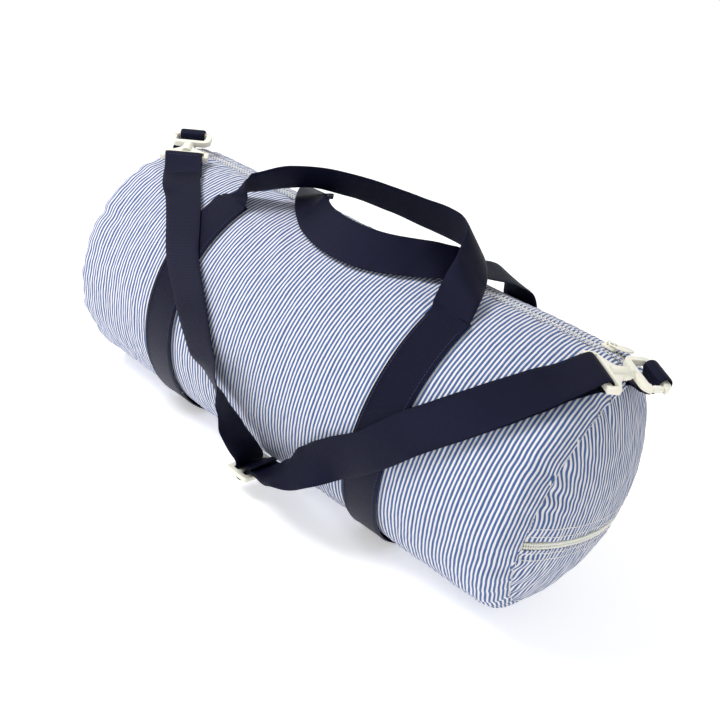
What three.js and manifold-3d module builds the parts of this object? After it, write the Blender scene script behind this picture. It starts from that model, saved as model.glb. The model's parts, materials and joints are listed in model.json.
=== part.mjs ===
// Barrel duffel bag: a striped cloth barrel with two webbing grab handles, a removable
// shoulder strap on swivel snap hooks, a zipper along the top and a zipped end pocket.
// Millimetres, +Z up. The origin is on the floor under the middle of the barrel, +X runs
// along the barrel to the pocket end, and the shoulder strap hangs on the -Y side.

import * as THREE from 'three';
import { mergeVertices } from 'three/addons/utils/BufferGeometryUtils.js';
import Module from 'manifold-3d';

const wasm = await Module();
wasm.setup();

// ---- driving dimensions ----

const barrelRadius = 127;
const barrelHalfLength = 273.6;
const bottomSag = 6;            // how far the full barrel settles on the floor
const shoulderLength = 19.6;    // stretch over which each end rounds in to its seam
const seamInset = 14.5;         // radius lost on the way to the end seam
const clothThickness = 2.4;     // cloth with its backing
const endBulge = 35;
const seamGap = 0.35;

const webbingWidth = 38.1;
const webbingThickness = 1.8;
const bandOffset = 132.1;       // from the middle of the barrel to each band
const bandGap = 1.1;
const bandEnd = 57;             // degrees above the horizontal where a band becomes a handle
const handleStart = 58.7;

const zipSlotHalfWidth = 9.5;
const facingWidth = 6.6;
const facingThickness = 1.4;
const tapeThickness = 0.8;
const coilWidth = 1.9;
const coilHeight = 2.6;
const zipHalfLength = 262;
const sliderRest = 246;
const sliderLength = 13;

const pocketZipDrop = 13;       // below the barrel's axis
const pocketSlotHeight = 8;
const pocketZipHalfLength = 98;
const pouchDepth = 70;
const pouchHalfWidth = 76;
const pouchThickness = 1.5;

const hookBar = 5;
const ringWire = 5.5;
const ringInnerWidth = 31;
const barToRing = 35;           // strap bar to the ring's near bar
const ringLength = 20;          // near bar to far bar, centre to centre
const stemRadius = 2.5;
const swivelClearance = 0.35;
const tabWidth = 26;
const layerGap = 0.6;          // clear space between two layers of webbing
const glideThickness = 4;
const glideBar = 5;

const axisHeight = barrelRadius - bottomSag;
const seamRadius = barrelRadius - seamInset;
const layerPitch = webbingThickness + layerGap;

// ---- materials ----

function finish(color, roughness, metalness = 0) {
  return new THREE.MeshStandardMaterial({ color, roughness, metalness });
}

const finishes = {
  seersucker: finish('#8fa3c8', 0.9),
  webbing: finish('#12163a', 0.75),
  tape: finish('#dfe3dc', 0.85),
  coil: finish('#e9eae2', 0.45),
  plastic: finish('#e6e6dc', 0.35),
  lining: finish('#e4e2dc', 0.9),
};

const model = new THREE.Group();

function addNode(name, geometry, material, parent = model) {
  const mesh = new THREE.Mesh(geometry, material);
  mesh.name = name;
  parent.add(mesh);
  return mesh;
}

// ---- small geometry helpers ----

const vec = (x, y, z) => new THREE.Vector3(x, y, z);

// Places on and beside the barrel are set out for its usual size and follow it when it changes.
const usualRadius = 127;
const usualHalfLength = 273.6;
const usualAxis = 121;

function byBarrel(x, y, z) {
  const grown = barrelRadius / usualRadius;
  return vec(x * barrelHalfLength / usualHalfLength, y * grown, axisHeight + (z - usualAxis) * grown);
}

const radians = THREE.MathUtils.degToRad;

function toSolid(geometry) {
  const bare = geometry.clone();
  bare.deleteAttribute('normal');
  bare.deleteAttribute('uv');
  const merged = mergeVertices(bare, 1e-4);
  return new wasm.Manifold(new wasm.Mesh({
    numProp: 3,
    vertProperties: new Float32Array(merged.attributes.position.array),
    triVerts: new Uint32Array(merged.index.array),
  }));
}

function toGeometry(solid) {
  const mesh = solid.getMesh();
  const geometry = new THREE.BufferGeometry();
  geometry.setAttribute('position', new THREE.BufferAttribute(mesh.vertProperties, 3));
  geometry.setIndex(new THREE.BufferAttribute(mesh.triVerts, 1));
  geometry.computeVertexNormals();
  return geometry;
}

function join(...geometries) {
  return toGeometry(geometries.map(toSolid).reduce((sum, solid) => sum.add(solid)));
}

function cut(geometry, ...tools) {
  return toGeometry(tools.map(toSolid).reduce((rest, tool) => rest.subtract(tool), toSolid(geometry)));
}

function geometryFrom(points, triangles) {
  const geometry = new THREE.BufferGeometry().setFromPoints(points);
  geometry.setIndex(triangles);
  geometry.computeVertexNormals();
  return geometry;
}

// A closed slab between two equal grids of points. Rows may close on themselves.
function slab(outer, inner, ring = false) {
  const rows = outer.length;
  const columns = outer[0].length;
  const points = [...outer.flat(), ...inner.flat()];
  const triangles = [];
  const at = (side, i, j) => (side * rows + i) * columns + (j % columns);
  const quad = (a, b, c, d) => triangles.push(a, b, c, a, c, d);
  const spans = ring ? columns : columns - 1;
  for (let i = 0; i < rows - 1; i += 1) {
    for (let j = 0; j < spans; j += 1) {
      quad(at(0, i, j), at(0, i, j + 1), at(0, i + 1, j + 1), at(0, i + 1, j));
      quad(at(1, i, j), at(1, i + 1, j), at(1, i + 1, j + 1), at(1, i, j + 1));
    }
  }
  for (let j = 0; j < spans; j += 1) {
    quad(at(0, 0, j), at(1, 0, j), at(1, 0, j + 1), at(0, 0, j + 1));
    quad(at(0, rows - 1, j), at(0, rows - 1, j + 1), at(1, rows - 1, j + 1), at(1, rows - 1, j));
  }
  if (!ring) {
    for (let i = 0; i < rows - 1; i += 1) {
      quad(at(0, i, 0), at(0, i + 1, 0), at(1, i + 1, 0), at(1, i, 0));
      const last = columns - 1;
      quad(at(0, i, last), at(1, i, last), at(1, i + 1, last), at(0, i + 1, last));
    }
  }
  return outwards(geometryFrom(points, triangles));
}

// Turns a closed mesh the right way out.
function outwards(geometry) {
  const position = geometry.attributes.position;
  const index = geometry.index.array;
  const corner = (k) => new THREE.Vector3().fromBufferAttribute(position, index[k]);
  let volume = 0;
  for (let k = 0; k < index.length; k += 3) {
    volume += corner(k).dot(corner(k + 1).cross(corner(k + 2)));
  }
  if (volume < 0) {
    for (let k = 0; k < index.length; k += 3) {
      [index[k], index[k + 1]] = [index[k + 1], index[k]];
    }
    geometry.computeVertexNormals();
  }
  return geometry;
}

// A webbing ribbon through stations of centre point and width direction. `shift` moves the
// whole layer along its own face.
function ribbon(stations, width, steps = 4, shift = 0, thickness = webbingThickness) {
  const centres = new THREE.CatmullRomCurve3(stations.map((s) => s.at), false, 'centripetal');
  const count = (stations.length - 1) * steps;
  const outer = [];
  const inner = [];
  for (let k = 0; k <= count; k += 1) {
    const t = k / count;
    const span = Math.min(Math.floor(t * (stations.length - 1)), stations.length - 2);
    const part = t * (stations.length - 1) - span;
    const across = stations[span].across.clone().lerp(stations[span + 1].across, part).normalize();
    const along = centres.getTangent(t);
    const face = new THREE.Vector3().crossVectors(along, across).normalize();
    const middle = centres.getPoint(t).addScaledVector(face, shift);
    const edge = (side, lift) => middle.clone()
      .addScaledVector(across, side * width / 2)
      .addScaledVector(face, lift * thickness / 2);
    outer.push([edge(-1, 1), edge(1, 1)]);
    inner.push([edge(-1, -1), edge(1, -1)]);
  }
  return slab(outer, inner);
}

const station = (at, across) => ({ at, across: across.clone().normalize() });

// ---- the barrel's own shape ----

function radiusAt(x) {
  const past = Math.abs(x) - (barrelHalfLength - shoulderLength);
  if (past <= 0) return barrelRadius;
  return barrelRadius - seamInset * Math.min(past / shoulderLength, 1) ** 2.2;
}

// Webbing under the barrel presses into its flat bottom, so both reach the floor.
function floorUnderCloth(x) {
  const fromBand = Math.abs(Math.abs(x) - bandOffset) - webbingWidth / 2;
  const pressed = webbingThickness + bandGap;
  return pressed * (1 - THREE.MathUtils.clamp((fromBand - 1) / 3, 0, 1));
}

// Angle is in degrees round the barrel from the rear, through the top, to the front.
function onBarrel(x, angle, height, floor) {
  const r = radiusAt(x) + height;
  const a = radians(angle);
  return vec(x, r * Math.cos(a), Math.max(axisHeight + r * Math.sin(a), floor));
}

function barrelSlab(xs, angles, high, low, floorHigh, floorLow) {
  const grid = (height, floor) => xs.map((x) => angles.map((a) => onBarrel(x, a, height, floor(x))));
  return slab(grid(high, floorHigh), grid(low, floorLow));
}

function steps(from, to, count) {
  return Array.from({ length: count + 1 }, (_, k) => from + (to - from) * k / count);
}

const halfSlotAngle = THREE.MathUtils.radToDeg(zipSlotHalfWidth / barrelRadius);
const mirrored = (list) => [...list.map((x) => -x).reverse(), 0, ...list];
const shoulderXs = [0, 0.35, 0.62, 0.84, 1].map((t) => barrelHalfLength - shoulderLength * (1 - t));
const bandEdges = [-4, -1, webbingWidth + 1, webbingWidth + 4]
  .map((d) => bandOffset - webbingWidth / 2 + d);

function addBarrel() {
  const xs = mirrored([...bandEdges, ...shoulderXs]);
  const angles = steps(90 + halfSlotAngle, 450 - halfSlotAngle, 52);
  const underside = (x) => floorUnderCloth(x);
  const inside = (x) => floorUnderCloth(x) + clothThickness;
  addNode('barrel_panel', barrelSlab(xs, angles, 0, -clothThickness, underside, inside),
    finishes.seersucker);
  for (const [name, side] of [['left', -1], ['right', 1]]) {
    const bandXs = [-0.5, 0.5].map((t) => side * bandOffset + t * webbingWidth);
    const bandAngles = steps(180 - bandEnd, 360 + bandEnd, 48);
    const low = bandGap;
    const high = bandGap + webbingThickness;
    addNode(`band_${name}`, barrelSlab(bandXs, bandAngles, high, low, () => 0, () => webbingThickness),
      finishes.webbing);
  }
}

// ---- top zipper ----

function strip(halfLength, yFrom, yTo, high, low) {
  const xs = mirrored([bandOffset, ...shoulderXs.filter((x) => x < halfLength), halfLength]);
  const angles = steps(yFrom, yTo, 2).map((y) => 90 - THREE.MathUtils.radToDeg(y / barrelRadius));
  const noFloor = () => 0;
  return barrelSlab(xs, angles, high, low, noFloor, noFloor);
}

function addTopZipper() {
  const facingInner = zipSlotHalfWidth - seamGap - facingWidth;
  const tapeTop = -clothThickness - 0.8;
  for (const [name, side] of [['front', -1], ['rear', 1]]) {
    addNode(`zip_facing_${name}`, strip(barrelHalfLength - 1, side * facingInner,
      side * (zipSlotHalfWidth - seamGap), -seamGap, -facingThickness), finishes.seersucker);
    addNode(`top_zip_tape_${name}`, strip(barrelHalfLength - 3, side * (coilWidth + 0.6),
      side * (zipSlotHalfWidth + 6), tapeTop, tapeTop - tapeThickness), finishes.tape);
    addNode(`top_zip_coil_${name}`, strip(zipHalfLength, side * 0.3,
      side * (0.3 + coilWidth), -0.8, -0.8 - coilHeight), finishes.coil);
  }
  for (const [name, side] of [['left', -1], ['right', 1]]) {
    const x = side * (zipHalfLength + 2);
    const stop = new THREE.BoxGeometry(3, 2 * coilWidth, coilHeight);
    stop.translate(x, 0, axisHeight + radiusAt(x) - 1 - coilHeight / 2);
    addNode(`top_zip_stop_${name}`, stop, finishes.coil);
  }
}

// A zipper slider with an arched bridge. Its feet rest on z = 0 and it runs along X.
const bridgeHeight = 3.7;
const bridgeWall = 1;
const bridgeWidth = 3.4;
const sliderBody = 2.4;
const pullThickness = 1.4;
const pullPivot = sliderBody + 1.4;

function sliderGeometry() {
  const body = new THREE.Shape();
  body.moveTo(-sliderLength / 2, -3.4);
  body.lineTo(sliderLength / 2 - 3, -4.6);
  body.quadraticCurveTo(sliderLength / 2, -4.4, sliderLength / 2, 0);
  body.quadraticCurveTo(sliderLength / 2, 4.4, sliderLength / 2 - 3, 4.6);
  body.lineTo(-sliderLength / 2, 3.4);
  body.closePath();
  const base = new THREE.ExtrudeGeometry(body, { depth: sliderBody, bevelEnabled: false, curveSegments: 4 });
  const arch = new THREE.Shape();
  arch.moveTo(-4.3, -0.5);
  arch.lineTo(4.3, -0.5);
  arch.lineTo(3.6, bridgeHeight);
  arch.lineTo(-3.6, bridgeHeight);
  arch.closePath();
  const window = new THREE.Path();
  window.moveTo(-2.7, 0);
  window.lineTo(-2.7, bridgeHeight - bridgeWall);
  window.lineTo(2.7, bridgeHeight - bridgeWall);
  window.lineTo(2.7, 0);
  window.closePath();
  arch.holes.push(window);
  const bridge = new THREE.ExtrudeGeometry(arch, { depth: bridgeWidth, bevelEnabled: false });
  bridge.rotateX(Math.PI / 2);
  bridge.translate(0, bridgeWidth / 2, sliderBody);
  return join(base, bridge);
}

// An oval pull tab. Its root bar lies on the Y axis and the tab reaches along +X.
function pullGeometry(length, width) {
  const outline = new THREE.Shape();
  outline.moveTo(-0.9, -3.6);
  outline.lineTo(4, -3.8);
  outline.bezierCurveTo(8, -width / 2 - 1, length - 1, -width / 2 - 1, length - 1, 0);
  outline.bezierCurveTo(length - 1, width / 2 + 1, 8, width / 2 + 1, 4, 3.8);
  outline.lineTo(-0.9, 3.6);
  outline.closePath();
  const window = new THREE.Path();
  window.moveTo(0.9, -2.2);
  window.lineTo(0.9, 2.2);
  window.lineTo(5.2, 2.2);
  window.lineTo(5.2, -2.2);
  window.closePath();
  outline.holes.push(window);
  const pull = new THREE.ExtrudeGeometry(outline, { depth: pullThickness, bevelEnabled: false, curveSegments: 8 });
  pull.translate(0, 0, -pullThickness / 2);
  return pull;
}

function addTopSlider() {
  const feet = axisHeight + barrelRadius + 0.3;
  const slider = addNode('top_zip_slider', sliderGeometry(), finishes.plastic);
  slider.position.set(sliderRest, 0, feet);
  const pull = addNode('top_zip_pull', pullGeometry(21, 13), finishes.plastic);
  pull.position.set(sliderRest, 0, feet + pullPivot);
  pull.rotation.y = radians(-6);
}

// ---- end panels and the end pocket ----

const panelRimRadius = seamRadius - clothThickness - seamGap;

function domeX(r) {
  return barrelHalfLength - 0.4 + endBulge * Math.max(1 - (r / panelRimRadius) ** 2, 0) ** 0.85;
}

function endPanelGeometry() {
  const outer = [];
  const radii = [1, 0.97, 0.9, 0.8, 0.66, 0.5, 0.32, 0.16, 0].map((t) => t * panelRimRadius);
  for (const r of radii) outer.push(new THREE.Vector2(r, domeX(r)));
  const inner = [...radii].reverse().map((r) => new THREE.Vector2(r, domeX(r) - clothThickness));
  const profile = [...inner, ...outer];
  const dome = new THREE.LatheGeometry(profile, 40);
  dome.rotateZ(-Math.PI / 2);
  return outwards(mergeVertices(stripped(dome), 1e-4));
}

function stripped(geometry) {
  const bare = geometry.clone();
  bare.deleteAttribute('normal');
  bare.deleteAttribute('uv');
  return bare;
}

function box(sizeX, sizeY, sizeZ, x, y, z) {
  const geometry = new THREE.BoxGeometry(sizeX, sizeY, sizeZ);
  geometry.translate(x, y, z);
  return geometry;
}

// A straight strip across the domed end at one height, following the dome.
function domeStrip(halfLength, zFrom, zTo, high, low) {
  const ys = steps(-halfLength, halfLength, 24);
  const grid = (height) => ys.map((y) => [zFrom, zTo].map((z) => {
    const r = Math.hypot(y, z);
    return vec(domeX(r) + height, y, axisHeight + z);
  }));
  return slab(grid(high), grid(low));
}

function addEnds() {
  const big = 2 * barrelRadius;
  const left = endPanelGeometry().rotateZ(Math.PI);
  left.translate(0, 0, axisHeight);
  addNode('end_panel_left', left, finishes.seersucker);

  const right = endPanelGeometry();
  right.translate(0, 0, axisHeight);
  const slotTop = axisHeight - pocketZipDrop + pocketSlotHeight / 2;
  const slotBottom = slotTop - pocketSlotHeight;
  const end = barrelHalfLength + endBulge / 2;
  addNode('end_panel_right_upper', cut(right, box(big, big, big, end, 0, slotTop - big / 2)),
    finishes.seersucker);
  addNode('end_panel_right_lower', cut(right, box(big, big, big, end, 0, slotBottom + big / 2)),
    finishes.seersucker);

  for (const [name, side] of [['left', -1], ['right', 1]]) {
    const profile = [[3.2, -10], [3.2, -3.6], [0.6, -3.6], [0.6, -10], [3.2, -10]]
      .map(([d, h]) => new THREE.Vector2(panelRimRadius - d, h));
    const binding = new THREE.LatheGeometry(profile, 40);
    binding.rotateZ(-Math.PI / 2);
    binding.translate(barrelHalfLength, 0, 0);
    if (side < 0) binding.rotateZ(Math.PI);
    binding.translate(0, 0, axisHeight);
    addNode(`seam_binding_${name}`, outwards(mergeVertices(stripped(binding), 1e-4)), finishes.tape);
  }
}

function addPocket() {
  const centre = -pocketZipDrop;
  const slotHalf = pocketSlotHeight / 2;
  const behind = -clothThickness - 0.8;
  const length = pocketZipHalfLength;
  for (const [name, side] of [['upper', 1], ['lower', -1]]) {
    addNode(`pocket_zip_tape_${name}`, domeStrip(length, centre + side * (coilWidth + 0.6),
      centre + side * (slotHalf + 7), behind, behind - tapeThickness), finishes.tape);
    addNode(`pocket_zip_coil_${name}`, domeStrip(length, centre + side * 0.3,
      centre + side * (0.3 + coilWidth), -0.6, -0.6 - coilHeight), finishes.coil);
  }
  const pouchTop = axisHeight + centre + slotHalf + 12;
  const pouchX = domeX(0) - 50;
  const shell = box(16, 2 * pouchHalfWidth, pouchDepth, pouchX, 0, pouchTop - pouchDepth / 2);
  const inside = box(16 - 2 * pouchThickness, 2 * (pouchHalfWidth - pouchThickness), pouchDepth,
    pouchX, 0, pouchTop - pouchDepth / 2 + pouchThickness);
  addNode('pocket_pouch', cut(shell, inside), finishes.lining);

  // The pocket's slider waits at the rear end of its zipper, facing out of the dome.
  const y = pocketZipHalfLength - 14;
  const r = Math.hypot(y, centre);
  const slope = Math.atan2(domeX(r + 3) - domeX(r - 3), 6);
  const mount = new THREE.Group();
  mount.position.set(domeX(r) + 0.5, y, axisHeight + centre);
  mount.rotation.set(0, Math.PI / 2, 0);
  const spin = new THREE.Group();
  spin.rotation.set(0, 0, Math.PI / 2);
  mount.add(spin);
  const lean = new THREE.Group();
  lean.rotation.set(0, -slope, 0);
  spin.add(lean);
  model.add(mount);
  addNode('pocket_zip_slider', sliderGeometry().scale(0.8, 0.8, 0.8), finishes.plastic, lean);
  const pull = addNode('pocket_zip_pull', pullGeometry(22, 11).scale(0.8, 0.8, 0.8),
    finishes.plastic, lean);
  pull.position.z = 0.8 * pullPivot;
  pull.rotation.set(0, radians(-8), 0);
}

// ---- grab handles ----

// Stations are [share of the band offset, degrees above horizontal from the front, height
// over the cloth, then the width direction as parts along X, outwards and over the top].
const frontHandle = [
  [-1.00, handleStart, 3.6, 1, 0, 0],
  [-1.00, 61, 6, 0.97, 0.22, 0],
  [-0.97, 64, 16, 0.64, 0.75, -0.14],
  [-0.86, 69, 22, 0.24, 0.8, -0.55],
  [-0.66, 79, 30, 0.03, 0.71, -0.7],
  [-0.4, 88, 33, 0, 0.7, -0.71],
  [-0.08, 93, 35, 0, 0.71, -0.7],
  [0.24, 94.5, 36, 0, 0.75, -0.66],
  [0.54, 92, 38, -0.21, 0.81, -0.55],
  [0.8, 85.5, 38, -0.53, 0.75, -0.39],
  [0.92, 76.5, 24, -0.78, 0.6, -0.2],
  [0.97, 67.5, 15, -0.93, 0.37, -0.06],
  [0.99, 61, 6, -0.98, 0.2, 0],
  [1.00, handleStart, 3.6, -1, 0, 0],
];
const rearHandle = [
  [-1.00, 180 - handleStart, 3.6, 1, 0, 0],
  [-0.985, 116, 6.5, 1, 0.04, 0.09],
  [-0.86, 106, 9, 0.98, 0.02, 0.2],
  [-0.7, 94, 9.5, 0.97, 0.02, 0.22],
  [-0.56, 83, 14, 0.82, 0.3, 0.48],
  [-0.39, 72, 13.5, 0.3, 0.68, 0.67],
  [-0.17, 66, 14, 0, 0.65, 0.76],
  [0.08, 64.5, 14.5, 0, 0.63, 0.78],
  [0.3, 67, 14, 0, 0.65, 0.76],
  [0.51, 73.5, 14, -0.1, 0.63, 0.77],
  [0.69, 82, 14, -0.38, 0.52, 0.76],
  [0.84, 92, 13, -0.8, 0.16, 0.58],
  [0.955, 102, 15, -0.9, 0.25, 0.33],
  [1.0, 112, 11, -0.99, 0.13, 0.06],
  [1.0, 180 - handleStart, 3.6, -1, 0, 0],
];

function handleStation([share, angle, height, alongX, outward, over]) {
  const a = radians(180 - angle);
  const radial = vec(0, Math.cos(a), Math.sin(a));
  const overTop = vec(0, Math.sin(a), -Math.cos(a));
  const at = vec(share * bandOffset, 0, axisHeight).addScaledVector(radial, barrelRadius + height);
  return station(at, vec(alongX, 0, 0).addScaledVector(radial, outward).addScaledVector(overTop, over));
}

function addHandles() {
  addNode('front_handle', ribbon(frontHandle.map(handleStation), webbingWidth), finishes.webbing);
  addNode('rear_handle', ribbon(rearHandle.map(handleStation), webbingWidth), finishes.webbing);
}

// ---- hooks and end tabs ----

// Each hook has its own frame: +X from the strap bar to the ring, +Y across, +Z away from
// the bag.
const hookPlaces = {
  left: { bar: byBarrel(-226.8, -48.8, 245.7), along: vec(-0.63, 0.735, 0.26), across: vec(0.77, 0.6, 0.2),
    tabRoot: byBarrel(-276.5, -4, 234.5), tabBow: vec(-4, 0, 0), gateSide: -1 },
  right: { bar: byBarrel(259, -54.5, 243.4), along: vec(0.6, 0.79, 0.1), across: vec(-0.77, 0.6, 0.18),
    tabRoot: byBarrel(276, -2, 234), tabBow: vec(3, 0, -6), gateSide: -1 },
};

function hookMatrix({ bar, along, across }) {
  const x = along.clone().normalize();
  const y = across.clone().addScaledVector(x, -across.dot(x)).normalize();
  const z = new THREE.Vector3().crossVectors(x, y);
  return new THREE.Matrix4().makeBasis(x, y, z).setPosition(bar);
}

function roundedRect(x0, y0, x1, y1, r) {
  const shape = new THREE.Shape();
  shape.moveTo(x0 + r, y0);
  shape.lineTo(x1 - r, y0);
  shape.absarc(x1 - r, y0 + r, r, -Math.PI / 2, 0);
  shape.lineTo(x1, y1 - r);
  shape.absarc(x1 - r, y1 - r, r, 0, Math.PI / 2);
  shape.lineTo(x0 + r, y1);
  shape.absarc(x0 + r, y1 - r, r, Math.PI / 2, Math.PI);
  shape.lineTo(x0, y0 + r);
  shape.absarc(x0 + r, y0 + r, r, Math.PI, 1.5 * Math.PI);
  return shape;
}

function flatExtrude(shape, depth) {
  const geometry = new THREE.ExtrudeGeometry(shape, { depth, bevelEnabled: false, curveSegments: 5 });
  geometry.translate(0, 0, -depth / 2);
  return geometry;
}

function rod(radius, from, to, segments = 20) {
  const geometry = new THREE.CylinderGeometry(radius, radius, to - from, segments);
  geometry.rotateZ(Math.PI / 2);
  geometry.translate((from + to) / 2, 0, 0);
  return geometry;
}

const headRadius = 4.2;
const headStart = 12.4;
const headEnd = 14.8;
const socketEnd = 26.5;
const collarEnd = 29.4;
const socketRadius = 5.7;

function hookBaseGeometry() {
  const slotHalf = webbingWidth / 2 + 1;
  const frameHalf = slotHalf + 4.5;
  const slotEnd = 8.6;
  const shape = new THREE.Shape();
  shape.moveTo(-hookBar / 2, -frameHalf);
  shape.lineTo(slotEnd, -frameHalf);
  shape.quadraticCurveTo(13, -12, 22, -5.4);
  shape.lineTo(22, 5.4);
  shape.quadraticCurveTo(13, 12, slotEnd, frameHalf);
  shape.lineTo(-hookBar / 2, frameHalf);
  shape.closePath();
  const slot = new THREE.Path();
  slot.moveTo(hookBar / 2, -slotHalf);
  slot.lineTo(hookBar / 2, slotHalf);
  slot.lineTo(slotEnd, slotHalf);
  slot.lineTo(slotEnd, -slotHalf);
  slot.closePath();
  shape.holes.push(slot);
  const body = join(flatExtrude(shape, hookBar), rod(socketRadius, 10.6, socketEnd));
  return cut(body, rod(stemRadius + swivelClearance, headStart, socketEnd + 1),
    rod(headRadius + swivelClearance, headStart - 0.6, headEnd + 0.6));
}

const ringHalfWidth = ringInnerWidth / 2 + ringWire;
const gatePivot = barToRing + 7;
const gateEnd = barToRing + ringLength - 7.4;

function hookGeometry(gateSide) {
  const near = barToRing - ringWire / 2;
  const far = barToRing + ringLength + ringWire / 2;
  const ring = roundedRect(near, -ringHalfWidth, far, ringHalfWidth, 8);
  ring.holes.push(roundedRect(near + ringWire, -ringInnerWidth / 2, far - ringWire, ringInnerWidth / 2, 2));
  const body = join(flatExtrude(ring, ringWire), rod(stemRadius, headEnd - 1, near + 1),
    rod(headRadius, headStart, headEnd), rod(5, socketEnd + 0.4, collarEnd), rod(3.6, collarEnd - 0.2, near + 1));
  const gateGap = box(gateEnd - gatePivot + 2 * 2.9, ringWire + 2, ringWire + 2,
    (gateEnd + gatePivot) / 2, gateSide * (ringHalfWidth - ringWire / 2), 0);
  return cut(body, gateGap);
}

function gateGeometry(gateSide) {
  const half = 2.4;
  const shape = new THREE.Shape();
  shape.absarc(gatePivot, 0, half, Math.PI / 2, 1.5 * Math.PI);
  shape.absarc(gateEnd, 0, half, -Math.PI / 2, Math.PI / 2);
  shape.closePath();
  const gate = flatExtrude(shape, ringWire - 0.8);
  gate.translate(0, gateSide * (ringHalfWidth - ringWire / 2), 0);
  return gate;
}

// A loop of webbing from the end seam round the ring's far bar and back.
function tabGeometry(place) {
  const frame = hookMatrix(place);
  const centre = vec(barToRing + ringLength, 0, 0).applyMatrix4(frame);
  const acrossBar = vec(0, 1, 0).transformDirection(frame);
  const acrossRoot = vec(0, Math.sign(acrossBar.y), 0);
  const reach = centre.clone().sub(place.tabRoot);
  const out = reach.clone().addScaledVector(acrossBar, -reach.dot(acrossBar)).normalize();
  const side = new THREE.Vector3().crossVectors(acrossBar, out);
  const rootSide = new THREE.Vector3().crossVectors(acrossRoot, reach).normalize();
  const bend = ringWire * 0.72 + webbingThickness / 2 + 0.9;
  const rootLeg = (lift) => place.tabRoot.clone().addScaledVector(rootSide, lift * layerPitch / 2);
  const middle = centre.clone().lerp(place.tabRoot, 0.55).add(place.tabBow);
  const middleAcross = acrossBar.clone().lerp(acrossRoot, 0.6);
  const middleLeg = (lift) => middle.clone().addScaledVector(side, lift * 4);
  const stations = [station(rootLeg(1), acrossRoot), station(middleLeg(1), middleAcross)];
  for (const angle of [90, 60, 30, 0, -30, -60, -90]) {
    const a = radians(angle);
    const point = centre.clone().addScaledVector(out, bend * Math.cos(a)).addScaledVector(side, bend * Math.sin(a));
    stations.push(station(point, acrossBar));
  }
  stations.push(station(middleLeg(-1), middleAcross), station(rootLeg(-1), acrossRoot));
  return ribbon(stations, tabWidth, 2);
}

function addHooks() {
  for (const [name, place] of Object.entries(hookPlaces)) {
    const group = new THREE.Group();
    group.applyMatrix4(hookMatrix(place));
    model.add(group);
    addNode(`hook_base_${name}`, hookBaseGeometry(), finishes.plastic, group);
    addNode(`hook_${name}`, hookGeometry(place.gateSide), finishes.plastic, group);
    addNode(`hook_gate_${name}`, gateGeometry(place.gateSide), finishes.plastic, group);
    addNode(`end_tab_${name}`, tabGeometry(place), finishes.webbing);
  }
}

// ---- shoulder strap and its adjuster ----

const at = (x, y, z, ...across) => station(byBarrel(x, y, z), vec(...across));
const glideCentre = byBarrel(10, -107, 20);
const byGlide = (x, y, z, ...across) => station(glideCentre.clone().add(vec(x, y, z)), vec(...across));

// From the left hook, down the front of the barrel and forward off it to the adjuster.
const leftLeg = [
  at(-199, -73, 230.5, 0.7, 0.63, 0.34),
  at(-176, -87.5, 219, 0.87, 0.36, 0.33),
  at(-153, -103.5, 201.5, 0.9, 0.27, 0.35),
  at(-132, -117, 180.5, 0.91, 0.19, 0.38),
  at(-99, -128, 149, 0.91, 0.09, 0.41),
  at(-66, -133, 111, 0.9, -0.1, 0.38),
  at(-42, -137.5, 96, 0.78, -0.5, 0.25),
  at(-21, -139.5, 80, 0.5, -0.83, 0.1),
  at(-6, -134.5, 61, 0.2, -0.97, 0),
  at(2, -121, 42, 0, -1, 0),
];
// Down through the first slot, under the middle bar and up through the second.
const throughGlide = [
  byGlide(-6.8, -1, 6, 0, -1, 0),
  byGlide(-6.6, 0, -2.5, 0, -1, 0),
  byGlide(-3.6, 0, -7, 0, -1, 0),
  byGlide(0, 0, -8, 0, -1, 0),
  byGlide(3.8, 0, -7, 0, -1, 0),
  byGlide(6.8, 0, -2.5, 0, -1, 0),
  byGlide(7.6, -0.5, 4.2, 0, -1, 0),
];
// The middle of the two layers that climb from the adjuster to the right hook.
const rightLeg = [
  at(30, -114, 31.5, 0, -1, 0),
  at(52, -127, 46, 0.2, -0.93, -0.3),
  at(78, -134, 69, 0.5, -0.45, -0.74),
  at(103, -131, 92, 0.7, 0.15, -0.69),
  at(138, -133, 123, 0.9, 0, -0.45),
  at(161, -130, 150, 0.86, -0.11, -0.49),
  at(186, -120.5, 175, 0.84, -0.22, -0.49),
  at(209, -108.5, 197.5, 0.82, -0.33, -0.47),
  at(230, -91.5, 218, 0.8, -0.45, -0.4),
  at(245, -74, 232, 0.74, -0.58, -0.28),
];

const turnRadius = 5.2;

// Round a bar: stations on a half turn about it, starting on one face of the strap.
function turnRound(place, from) {
  const frame = hookMatrix(place);
  return [1, 0.6, 0.2, -0.2, -0.6, -1].map((t) => {
    const a = radians(90 * t * from);
    const point = vec(turnRadius * Math.cos(a), 0, turnRadius * Math.sin(a)).applyMatrix4(frame);
    return station(point, vec(0, 1, 0).transformDirection(frame));
  });
}

function besideBar(place, x) {
  const frame = hookMatrix(place);
  return station(vec(x, 0, -turnRadius).applyMatrix4(frame), vec(0, 1, 0).transformDirection(frame));
}

function faceOf(list, k) {
  const before = list[Math.max(k - 1, 0)].at;
  const after = list[Math.min(k + 1, list.length - 1)].at;
  return new THREE.Vector3().crossVectors(after.clone().sub(before), list[k].across).normalize();
}

function offsetLayer(list, distance) {
  return list.map((s, k) => station(s.at.clone().addScaledVector(faceOf(list, k), distance), s.across));
}

function flipped(list) {
  return list.map((s) => station(s.at, s.across.clone().negate()));
}

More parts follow.
